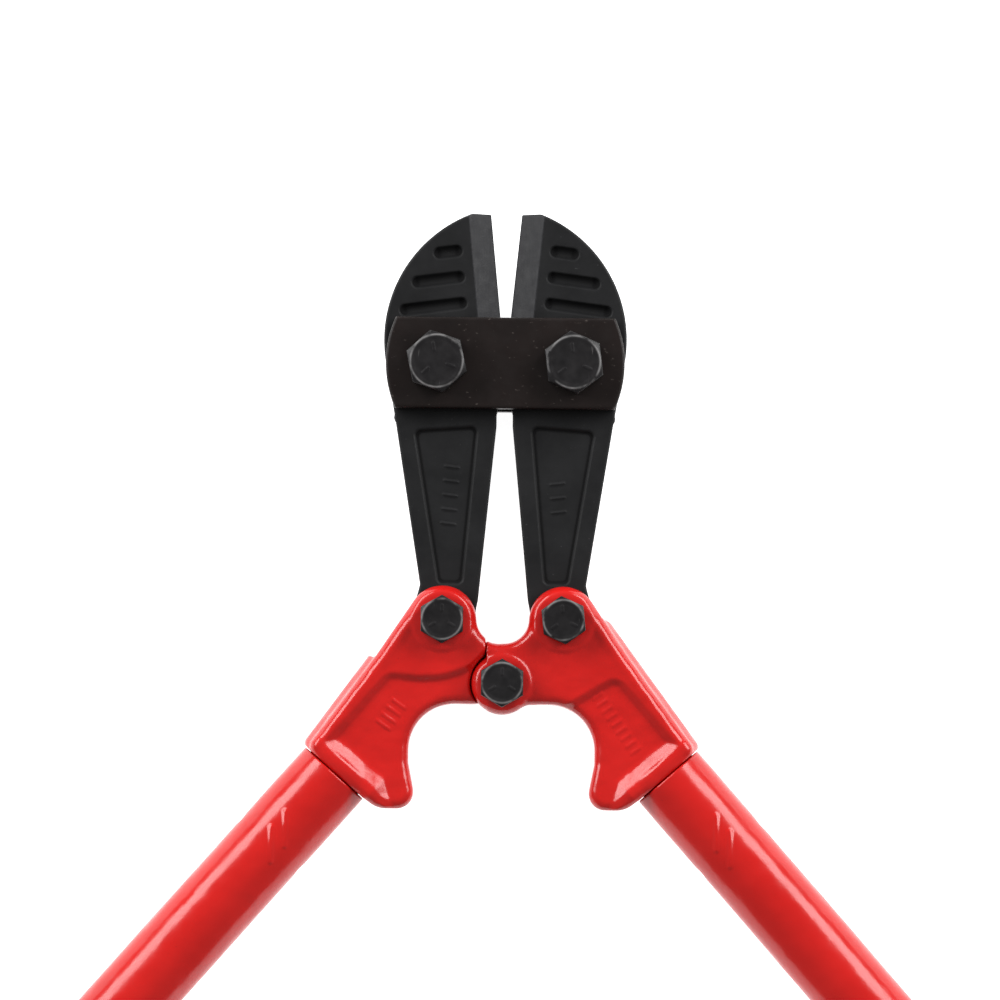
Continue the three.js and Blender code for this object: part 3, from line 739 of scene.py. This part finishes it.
def make_bolt(size, face):
    seat = face + GAP - 0.25
    top = face + GAP + size["head"]
    wide = size["flats"] / math.sqrt(3) + 0.2
    g = Grid((-wide, -wide, -MID_PLANE), (wide, wide, top), BOLT_STEP)
    away = np.hypot(g.x, g.y)
    washer_face = rounded_join(away - 0.47 * size["flats"], np.abs(g.z - seat - 0.6) - 0.6, 0.1)
    # The rod is plain in its upper half, and below that has a thread with a chamfered end.
    rod = np.maximum(away - size["radius"] + 0.05, np.abs(g.z - (seat + 1) / 2) - (seat + 1) / 2)
    thread = np.maximum(threaded(g, size), g.z - 1)
    tail = (away - size["radius"] + 1.0 - (g.z + MID_PLANE)) * 0.7
    thread = np.maximum(np.maximum(thread, tail), -g.z - MID_PLANE)
    head = bolt_head(g, size, face, top)
    shape = skin(np.minimum(np.minimum(head, washer_face), np.minimum(rod, thread)), g, edge_reach=0.7)
    # A painted highlight: a light ring where the chamfer meets the top.
    at = shape["points"]
    rim = CHAMFER_SHARE * size["flats"]
    from_ring = np.hypot(np.hypot(at[:, 0], at[:, 1]) - rim, at[:, 2] - top)
    shape["values"]["ring"] = np.exp(-((from_ring / 0.28) ** 2))
    return shape


def make_nut(size, face):
    top = -face - 2 * GAP - size["washer"] + 0.15
    bottom = top - size["nut"] - 0.15
    wide = size["flats"] / math.sqrt(3) + 0.2
    g = Grid((-wide, -wide, bottom), (wide, wide, top), BOLT_STEP)
    away = np.hypot(g.x, g.y)
    middle, half = (top + bottom) / 2, (top - bottom) / 2
    rise = np.abs(g.z - middle) - half
    nut = blend_max(rounded_join(hexagon(g, size), rise, 0.25), chamfer(away, size, rise), 0.25)
    mouth = (away - size["radius"] - 0.6 - rise) * 0.7
    bore = np.minimum(away - size["radius"] - 0.12, mouth)
    return skin(cut(nut, bore), g, edge_reach=0.7)


def make_washer(size, face):
    """A split spring washer, flattened but with its two ends slightly out of line."""
    top = -face - GAP + 0.2
    bottom = top - size["washer"] - 0.15
    wide = size["washer_radius"] + 0.2
    g = Grid((-wide, -wide, bottom), (wide, wide, top), 0.2)
    away = np.hypot(g.x, g.y)
    inner = size["radius"] + 0.25
    ring = np.abs(away - (inner + size["washer_radius"]) / 2) - (size["washer_radius"] - inner) / 2
    turn = np.arctan2(g.y, g.x) / (2 * math.pi)
    rise, split_half, lean = 0.25, 0.42, 0.06
    lift = rise * (turn % 1 - 0.5)
    half = (top - bottom) / 2 - 0.16
    body = rounded_join(ring, np.abs(g.z - (top + bottom) / 2 - lift) - half, 0.3)
    split = np.maximum(np.abs(g.y - lean * g.x) - split_half, -g.x)
    return skin(cut(body, split), g, edge_reach=0.7)


# -------- turned pieces, along the tube


def revolve(profile, sides, relief=None):
    """A closed (radius, along) profile turned about the tube's axis, as quads."""
    profile = np.array(profile, float)
    turns = np.arange(sides) / sides * 2 * math.pi
    radius = np.repeat(profile[:, :1], sides, axis=1)
    along = np.repeat(profile[:, 1:], sides, axis=1)
    if relief is not None:
        radius = radius + relief(radius, along, turns[None, :])
    out, z = radius * np.cos(turns), radius * np.sin(turns)
    plane = TUBE_END + along[..., None] * TUBE_DOWN + out[..., None] * TUBE_OUT
    points = np.concatenate([plane, z[..., None]], axis=2).reshape(-1, 3)
    rows, columns = np.meshgrid(np.arange(len(profile)), np.arange(sides), indexing="ij")
    next_row, next_column = (rows + 1) % len(profile), (columns + 1) % sides
    faces = np.stack([
        rows * sides + columns, rows * sides + next_column,
        next_row * sides + next_column, next_row * sides + columns,
    ], axis=2).reshape(-1, 4)
    return dict(points=points, faces=faces, normals=None, values={"proud": np.zeros(len(points))})


def turned_mesh(name, shape):
    mesh = make_mesh(name, shape)
    mesh.set_sharp_from_angle(angle=SHARP_ANGLE)
    return mesh


def stations(start, end, step):
    """Evenly spaced places from start to end, about a step apart."""
    count = max(1, round((end - start) / step))
    return list(np.linspace(start, end, count + 1))


def tube_profile():
    """A tube with rounded ends, with close stations where the bars are pressed up."""
    inner, outer, edge = TUBE_RADIUS - TUBE_WALL, TUBE_RADIUS, 0.5
    ridge, first, last = outer - edge, TUBE_START + edge, TUBE_LENGTH - edge
    sides = [(outer, s) for s in stations(first, 42, 0.35) + stations(44, last, 5)]
    far = [(ridge + edge * math.cos(t), last + edge * math.sin(t)) for t in (0.5, 1.0, 1.57)]
    back = [(inner, TUBE_LENGTH), (inner, TUBE_LENGTH / 2), (inner, TUBE_START)]
    near = [(ridge + edge * math.sin(t), first - edge * math.cos(t)) for t in (0, 0.5, 1.0)]
    return sides + far + back + near


def tube_relief(radius, along, turn):
    """Two slanted bars pressed up on the front of the tube, and the slight unevenness of drawn tube."""
    relief = 0.04 * np.sin(along / 9.0 + 2 * turn) + 0.03 * np.sin(along / 23.0 - turn)
    around = np.angle(np.exp(1j * (turn - math.pi / 2))) * TUBE_RADIUS
    side, way, half_width = -3.0, np.array([8.0, 7.0]), 1.3
    for start in (19.0, 25.5):
        # A bar runs slantwise from its start, 8 mm along the tube and 7 mm round it.
        t = ((along - start) * way[0] + (around - side) * way[1]) / (way @ way)
        t = np.clip(t, 0, 1)
        away = np.hypot(along - start - t * way[0], around - side - t * way[1])
        relief = relief + raised(away - half_width, 0.4, half_width)
    return np.where(radius > TUBE_RADIUS - 0.6, relief, 0)


def grip_profile():
    """A moulded grip: guard flange, ribbed hold and domed end."""
    inner, guard, outer = TUBE_RADIUS + 0.15, 17.5, 15.9
    start, end = GRIP_START, TUBE_REACH
    lip, guard_far, rib, pitch, dome, end_wall = 1.5, 4.5, 0.75, 5.0, 5, 6
    hold, ridge = outer - rib, guard - lip
    quarter = np.linspace(0, 1.57, 6)
    outside = [(ridge + lip * math.sin(t), start + lip - lip * math.cos(t)) for t in quarter]
    outside += [(ridge + lip * math.cos(t), start + guard_far + lip * math.sin(t)) for t in quarter]
    for s in stations(start + 8, end - 12, 0.6):
        ribbed = np.clip((s - start - 14) / 3, 0, 1) * np.clip((end - 22 - s) / 3, 0, 1)
        wave = max(0.0, math.sin(s * 2 * math.pi / pitch)) ** 0.7
        outside.append((hold + rib * wave * ribbed, s))
    turns = np.linspace(0.1, 1.57, 8)
    outside += [(hold - dome + dome * math.cos(t), end - dome + dome * math.sin(t)) for t in turns]
    axis = 0.05
    return outside + [(axis, end), (axis, end - end_wall), (inner, end - end_wall), (inner, start)]


def make_pin():
    """A rolled pin: a strip bent round with an open seam, chamfered at both ends."""
    half, sides, opening = TUBE_RADIUS - 0.5, 28, 0.35
    turns = np.linspace(opening, 2 * math.pi - opening, sides)
    outer, inner = PIN_RADIUS, PIN_RADIUS - 0.9
    section = [(outer, t) for t in turns] + [(inner, t) for t in turns[::-1]]
    length, depth = 0.8, 0.3
    ends = ((-half, depth), (-half + length, 0.0), (half - length, 0.0), (half, depth))
    points = []
    for along, taken_off in ends:
        for radius, t in section:
            r = radius - taken_off if radius == outer else radius
            plane = TUBE_END + (PIN_ALONG + r * math.cos(t)) * TUBE_DOWN + along * TUBE_OUT
            points.append((plane[0], plane[1], r * math.sin(t)))
    count = len(section)
    faces = []
    for ring in range(len(ends) - 1):
        for i in range(count):
            a, b = ring * count + i, ring * count + (i + 1) % count
            faces.append((a, b, b + count, a + count))
    last = (len(ends) - 1) * count
    for i in range(sides - 1):
        faces.append((i, count - 1 - i, count - 2 - i, i + 1))
        faces.append((last + i, last + i + 1, last + count - 2 - i, last + count - 1 - i))
    return dict(points=np.array(points), faces=np.array(faces), normals=None,
                values={"proud": np.zeros(len(points))})


# -------- materials


class Shader:
    """A short way to write a node tree."""

    def __init__(self, name):
        self.material = bpy.data.materials.new(name)
        self.material.use_nodes = True
        self.tree = self.material.node_tree
        self.surface = self.tree.nodes["Principled BSDF"]
        self.place = self.node("TexCoord").outputs["Object"]

    def put(self, socket, value):
        """A source or a plain value into a socket."""
        if hasattr(value, "is_output"):
            self.tree.links.new(value, socket)
        else:
            socket.default_value = value

    def fill(self, node, inputs):
        for name, value in inputs.items():
            self.put(node.inputs[name.replace("_", " ")], value)

    def node(self, kind, **inputs):
        node = self.tree.nodes.new(f"ShaderNode{kind}")
        self.fill(node, inputs)
        return node

    def noise(self, wavelength_mm, detail=3.0, roughness=0.5, stretch=None):
        place = self.place
        if stretch:
            place = self.node("Mapping", Scale=stretch, Vector=place).outputs["Vector"]
        scale = METRE / wavelength_mm
        node = self.node("TexNoise", Scale=scale, Detail=detail, Roughness=roughness, Vector=place)
        return node.outputs["Fac"]

    def cells(self, wavelength_mm):
        node = self.node("TexVoronoi", Scale=METRE / wavelength_mm, Vector=self.place)
        return node.outputs["Distance"]

    def value(self, name):
        """A number that the mesh holds at each of its points."""
        node = self.node("Attribute")
        node.attribute_name = name
        return node.outputs["Fac"]

    def remap(self, source, low, high, to_low=0.0, to_high=1.0):
        node = self.node("MapRange", Value=source, From_Min=low, From_Max=high, To_Min=to_low, To_Max=to_high)
        return node.outputs["Result"]

    def maths(self, kind, a, b):
        node = self.node("Math")
        node.operation = kind
        self.put(node.inputs[0], a)
        self.put(node.inputs[1], b)
        return node.outputs[0]

    def mix(self, share, a, b):
        """From colour a to colour b, by the share."""
        node = self.node("Mix")
        node.data_type = "RGBA"
        colours = {key: c if hasattr(c, "is_output") else (*c, 1) for key, c in (("A", a), ("B", b))}
        self.fill(node, {"Factor": share, **colours})
        return node.outputs["Result"]

    def mottled(self, pattern, a, b):
        """A colour or a number that goes from a to b with a noise."""
        if isinstance(a, tuple):
            return self.mix(self.remap(pattern, 0.3, 0.7), a, b)
        return self.remap(pattern, 0.3, 0.7, a, b)

    def bump(self, height, depth_mm, under=None):
        node = self.node("Bump", Strength=1.0, Distance=depth_mm / METRE, Height=height)
        if under:
            self.put(node.inputs["Normal"], under)
        return node.outputs["Normal"]

    def set(self, **sockets):
        self.fill(self.surface, sockets)
        return self.material


def red_enamel(name, peel):
    """Thick gloss enamel on a forging: rippled, with painted shade along its sharp edges and in its corners
    and recesses.
    """
    s = Shader(name)
    proud = s.value("proud")
    tone = s.mottled(s.noise(22), (0.45, 0.0068, 0.0052), (0.50, 0.0090, 0.0070))
    # Painted shade: darker red where the surface is hollow, in corners, recesses and grooves.
    tone = s.mix(s.remap(proud, -0.05, -0.30, 0.0, 0.55), tone, (0.26, 0.004, 0.006))
    # Painted shade: darker red along sharp outer edges, in place of their dark reflection.
    tone = s.mix(s.remap(proud, 0.42, 0.62, 0.0, 0.5), tone, (0.20, 0.006, 0.008))
    specks = s.remap(s.noise(1.1, 1.0), 0.78, 0.84, 0.0, 0.35)
    tone = s.mix(specks, tone, (0.18, 0.006, 0.007))
    under = s.bump(s.noise(9.0, 1.5), 0.9 * peel)
    under = s.bump(s.noise(3.2, 1.5), 0.10 * peel, under)
    normal = s.bump(s.noise(0.9, 1.0), 0.008 * peel, under)
    rough = s.mottled(s.noise(6.0, 4.0), 0.16, 0.26)
    return s.set(Base_Color=tone, Roughness=rough, Normal=normal, Coat_Weight=0.08, Coat_Roughness=0.06,
                 Specular_IOR_Level=0.36)


def forged_black(name):
    """Black oxide on a forging, rubbed lighter along its edges, with a ground bevel and painted shade in its
    grooves.
    """
    s = Shader(name)
    proud, ground = s.value("proud"), s.value("ground")
    tone = s.mottled(s.noise(14, 5.0), (0.0075, 0.0076, 0.0080), (0.0125, 0.0126, 0.0132))
    rub = s.maths("MULTIPLY", s.remap(proud, 0.20, 0.42), s.remap(s.noise(2.6, 5.0), 0.38, 0.62))
    tone = s.mix(rub, tone, (0.10, 0.10, 0.105))
    tone = s.mix(s.remap(s.noise(0.8, 2.0), 0.74, 0.80, 0.0, 0.6), tone, (0.06, 0.06, 0.062))
    # Painted shade: near-black in the grooves and hollows.
    tone = s.mix(s.remap(proud, -0.03, -0.13, 0.0, 0.9), tone, (0.0020, 0.0020, 0.0022))
    lines = s.noise(0.5, 2.0, 0.5, (1.0, 0.06, 1.0))
    steel = s.mix(lines, (0.013, 0.013, 0.0145), (0.021, 0.021, 0.023))
    tone = s.mix(ground, tone, steel)
    grain = s.bump(s.noise(0.55, 3.0, 0.6), 0.035)
    scale = s.bump(s.noise(7.0, 4.0), 0.10, grain)
    rough = s.mix(ground, (0.52,) * 3, (0.42,) * 3)
    rough = s.maths("ADD", s.remap(s.noise(3.0, 4.0), 0.2, 0.8, -0.09, 0.09), rough)
    rough = s.maths("MAXIMUM", s.remap(proud, -0.03, -0.13, 0.0, 0.85), rough)
    return s.set(Base_Color=tone, Roughness=rough, Normal=scale, Specular_IOR_Level=0.13)


def rolled_strap(name):
    """Brown-black oxide on rolled plate: smooth, with short scuffs and rubbed edges."""
    s = Shader(name)
    proud = s.value("proud")
    tone = s.mottled(s.noise(18, 4.0), (0.0080, 0.0060, 0.0056), (0.0130, 0.0092, 0.0085))
    scuff = s.remap(s.noise(1.1, 3.0, 0.6, (0.55, 1.0, 1.0)), 0.665, 0.72, 0.0, 0.75)
    rub = s.maths("MULTIPLY", s.remap(proud, 0.22, 0.45), s.remap(s.noise(3.0, 5.0), 0.40, 0.60))
    tone = s.mix(scuff, tone, (0.06, 0.05, 0.045))
    tone = s.mix(rub, tone, (0.16, 0.15, 0.145))
    normal = s.bump(s.noise(11.0, 3.0), 0.10)
    normal = s.bump(s.noise(0.8, 3.0), 0.015, normal)
    rough = s.mottled(s.noise(5.0, 5.0, 0.6), 0.30, 0.46)
    return s.set(Base_Color=tone, Roughness=rough, Normal=normal, Specular_IOR_Level=0.15)


def bolt_black(name):
    """Heat-blackened bolt steel with an oily sheen, bright rubbed corners and a painted highlight ring on the
    head.
    """
    s = Shader(name)
    proud = s.value("proud")
    tone = s.mottled(s.noise(5.0, 4.0), (0.008, 0.0075, 0.008), (0.014, 0.0130, 0.0137))
    rub = s.maths("MULTIPLY", s.remap(proud, 0.18, 0.40), s.remap(s.noise(1.5, 4.0), 0.35, 0.62))
    tone = s.mix(rub, tone, (0.13, 0.125, 0.125))
    # Painted highlight: the light ring on each head's chamfer edge.
    ring = s.maths("MULTIPLY", s.value("ring"), s.remap(s.noise(4.0, 2.0), 0.35, 0.60))
    tone = s.mix(ring, tone, (0.18, 0.175, 0.175))
    scratch = s.remap(s.noise(0.9, 2.0, 0.5, (1.0, 0.12, 1.0)), 0.68, 0.76, 0.0, 0.6)
    tone = s.mix(scratch, tone, (0.08, 0.075, 0.075))
    normal = s.bump(s.noise(1.8, 4.0), 0.03)
    rough = s.mottled(s.noise(2.5, 4.0), 0.30, 0.46)
    return s.set(Base_Color=tone, Roughness=rough, Normal=normal, Metallic=0.1, Specular_IOR_Level=0.2)


def spring_steel(name):
    """Bare steel, grey and lightly brushed, for washers and pins."""
    s = Shader(name)
    tone = s.mottled(s.noise(3.0, 4.0), (0.10, 0.10, 0.105), (0.18, 0.175, 0.17))
    normal = s.bump(s.noise(0.6, 3.0), 0.02)
    rough = s.mottled(s.noise(2.0, 4.0), 0.28, 0.48)
    return s.set(Base_Color=tone, Roughness=rough, Normal=normal, Metallic=0.9)


def grip_rubber(name):
    """Matt moulded rubber with a fine spark-eroded grain and slight dust."""
    s = Shader(name)
    tone = s.mottled(s.noise(30, 5.0), (0.012, 0.012, 0.013), (0.020, 0.020, 0.021))
    tone = s.mix(s.remap(s.noise(1.2, 3.0), 0.66, 0.78, 0.0, 0.25), tone, (0.07, 0.068, 0.065))
    grain = s.bump(s.cells(0.45), 0.05)
    normal = s.bump(s.noise(0.3, 2.0), 0.03, grain)
    rough = s.mottled(s.noise(8.0, 4.0), 0.62, 0.80)
    return s.set(Base_Color=tone, Roughness=rough, Normal=normal, Specular_IOR_Level=0.4)


materials = {
    "forged_enamel": red_enamel("forged_enamel", 1.0),
    "tube_enamel": red_enamel("tube_enamel", 0.45),
    "forged_black": forged_black("forged_black"),
    "rolled_strap": rolled_strap("rolled_strap"),
    "bolt_black": bolt_black("bolt_black"),
    "spring_steel": spring_steel("spring_steel"),
    "grip_rubber": grip_rubber("grip_rubber"),
}

# -------- the object


def add_straps():
    for side, face in (("front", 1), ("back", -1)):
        name = f"{side}_side_plate"
        mesh = make_mesh(name, make_strap(face))
        add_piece(name, mesh, f"{side}_strap", "straps", materials["rolled_strap"])


def add_jaws():
    """The jaws differ only in the bars on their shanks: five on the left and three on the right."""
    for side, shape in (("left", mirrored(make_jaw((16.2, 67.0), 5))), ("right", make_jaw((16.5, 62.0), 3))):
        name, jaw = f"{side}_jaw_forging", f"{side}_jaw"
        add_piece(name, make_mesh(name, shape), jaw, jaw, materials["forged_black"])


def add_heads():
    for side, shape in (("left", mirrored(make_tongue_head())), ("right", make_fork_head())):
        name, node, body = f"{side}_head_forging", f"{side}_handle_head", f"{side}_handle"
        mesh = make_mesh(name, shape)
        add_piece(name, mesh, node, body, materials["forged_enamel"])


def cut_pin_hole(mesh, side):
    """The tube with the pin's hole through it, made with a boolean and applied."""
    flip = np.array([-1.0, 1.0]) if side == "left" else np.ones(2)
    bpy.ops.mesh.primitive_cylinder_add(vertices=40, radius=(PIN_RADIUS + 0.12) / METRE, depth=0.04)
    cutter = bpy.context.object
    out = TUBE_OUT * flip
    at = from_tube(-PIN_ALONG, 0) * flip
    cutter.location = (at[0] / METRE, at[1] / METRE, MID_PLANE / METRE)
    cutter.rotation_mode = "QUATERNION"
    cutter.rotation_quaternion = Vector((out[0], out[1], 0)).to_track_quat("Z", "Y")
    holder = new_object("tube_blank", mesh)
    modifier = holder.modifiers.new("pin_hole", "BOOLEAN")
    modifier.object = cutter
    modifier.operation = "DIFFERENCE"
    modifier.solver = "EXACT"
    graph = bpy.context.evaluated_depsgraph_get()
    result = bpy.data.meshes.new_from_object(holder.evaluated_get(graph), depsgraph=graph)
    for spare in (holder, cutter):
        bpy.data.objects.remove(spare)
    result.set_sharp_from_angle(angle=SHARP_ANGLE)
    result.materials.clear()
    return result


def add_handles():
    """Each side's tube, grip and roll pin."""
    shapes = (revolve(tube_profile(), 216, tube_relief), revolve(grip_profile(), 96), make_pin())
    kinds = (
        ("handle_tube", "tube", "red_enamel", "tube_enamel"),
        ("hand_grip", "grip", "grip_rubber", "grip_rubber"),
        ("rolled_pin", "roll_pin", "spring_steel", "spring_steel"),
    )
    for side in ("left", "right"):
        for shape, (kind, node, slot, material) in zip(shapes, kinds):
            name = f"{side}_{kind}"
            mesh = turned_mesh(name, mirrored(shape) if side == "left" else shape)
            if node == "tube":
                mesh = cut_pin_hole(mesh, side)
            add_piece(name, mesh, f"{side}_{node}", f"{side}_handle", materials[material])


def add_fasteners():
    """One set of each size, copied to its places; some are turned by a few degrees."""
    plate = [make(PLATE_SIZE, STRAP_OUTER) for make in (make_bolt, make_nut, make_washer)]
    pivot = [make(PIVOT_SIZE, HEAD_HALF) for make in (make_bolt, make_nut, make_washer)]
    left = np.array([-1, 1])
    places = (
        ("left_plate", plate, JAW_PIVOT * left, 12, "straps"),
        ("right_plate", plate, JAW_PIVOT, 7, "straps"),
        ("left_shank", pivot, SHANK_PIVOT * left, 0, "left_handle"),
        ("right_shank", pivot, SHANK_PIVOT, 6, "right_handle"),
        ("centre", pivot, CENTRE, 0, "right_handle"),
    )
    kinds = (
        ("bolt", "hex_bolt", "bolt_steel", "bolt_black"),
        ("nut", "hex_nut", "bolt_steel", "bolt_black"),
        ("washer", "spring_washer", "spring_steel", "spring_steel"),
    )
    for place, shapes, at, turn, body in places:
        for shape, (node, kind, slot, material) in zip(shapes, kinds):
            name = f"{place}_{kind}"
            mesh = make_mesh(name, placed(shape, at, turn * DEGREE))
            add_piece(name, mesh, f"{place}_{node}", body, materials[material])


# -------- camera, light and floor


def look_from(thing, at, target, roll=0.0):
    """Put a camera or a light at a point, facing another."""
    thing.location = at
    thing.rotation_euler = (Vector(target) - Vector(at)).to_track_quat("-Z", "Y").to_euler()
    thing.rotation_euler.rotate_axis("Z", roll)


def add_camera():
    distance, tilt, roll = 1.77, 2.9 * DEGREE, 0.577 * DEGREE
    target = Vector((-0.0012, 0.0571, MID_PLANE / METRE))
    camera = new_object("camera", bpy.data.cameras.new("camera"))
    camera.data.lens = 205
    camera.data.sensor_width = 36
    at = target + distance * Vector((0, -math.sin(tilt), math.cos(tilt)))
    look_from(camera, at, target, roll)
    bpy.context.scene.camera = camera


def add_light():
    """A soft overall light, and two softboxes above the tool, one on each side."""
    world = bpy.data.worlds.new("studio")
    bpy.context.scene.world = world
    world.use_nodes = True
    background = world.node_tree.nodes["Background"]
    background.inputs["Color"].default_value = (1, 1, 1, 1)
    background.inputs["Strength"].default_value = 0.31
    for name, side in (("left_softbox", -1), ("right_softbox", 1)):
        light = new_object(name, bpy.data.lights.new(name, "AREA"))
        light.data.shape = "RECTANGLE"
        light.data.size, light.data.size_y, light.data.energy = 1.5, 0.75, 33
        look_from(light, (side * 1.15, 0.80, 0.82), (0, 0.03, 0.02))
    bpy.context.scene.view_settings.view_transform = "Standard"


def add_floor():
    """A pale floor that gives off a little light, so that it shows as white."""
    bpy.ops.mesh.primitive_plane_add(size=12)
    floor = bpy.context.object
    floor.name = "studio_floor"
    s = Shader("pale_floor")
    tone = s.mottled(s.noise(60), (0.78, 0.78, 0.78), (0.80, 0.80, 0.80))
    glow = dict(Emission_Color=(1, 1, 1, 1), Emission_Strength=0.92)
    floor.data.materials.append(s.set(Base_Color=tone, Roughness=0.9, Specular_IOR_Level=0.1, **glow))


add_camera()
add_light()
add_floor()
add_straps()
add_jaws()
add_heads()
add_handles()
add_fasteners()
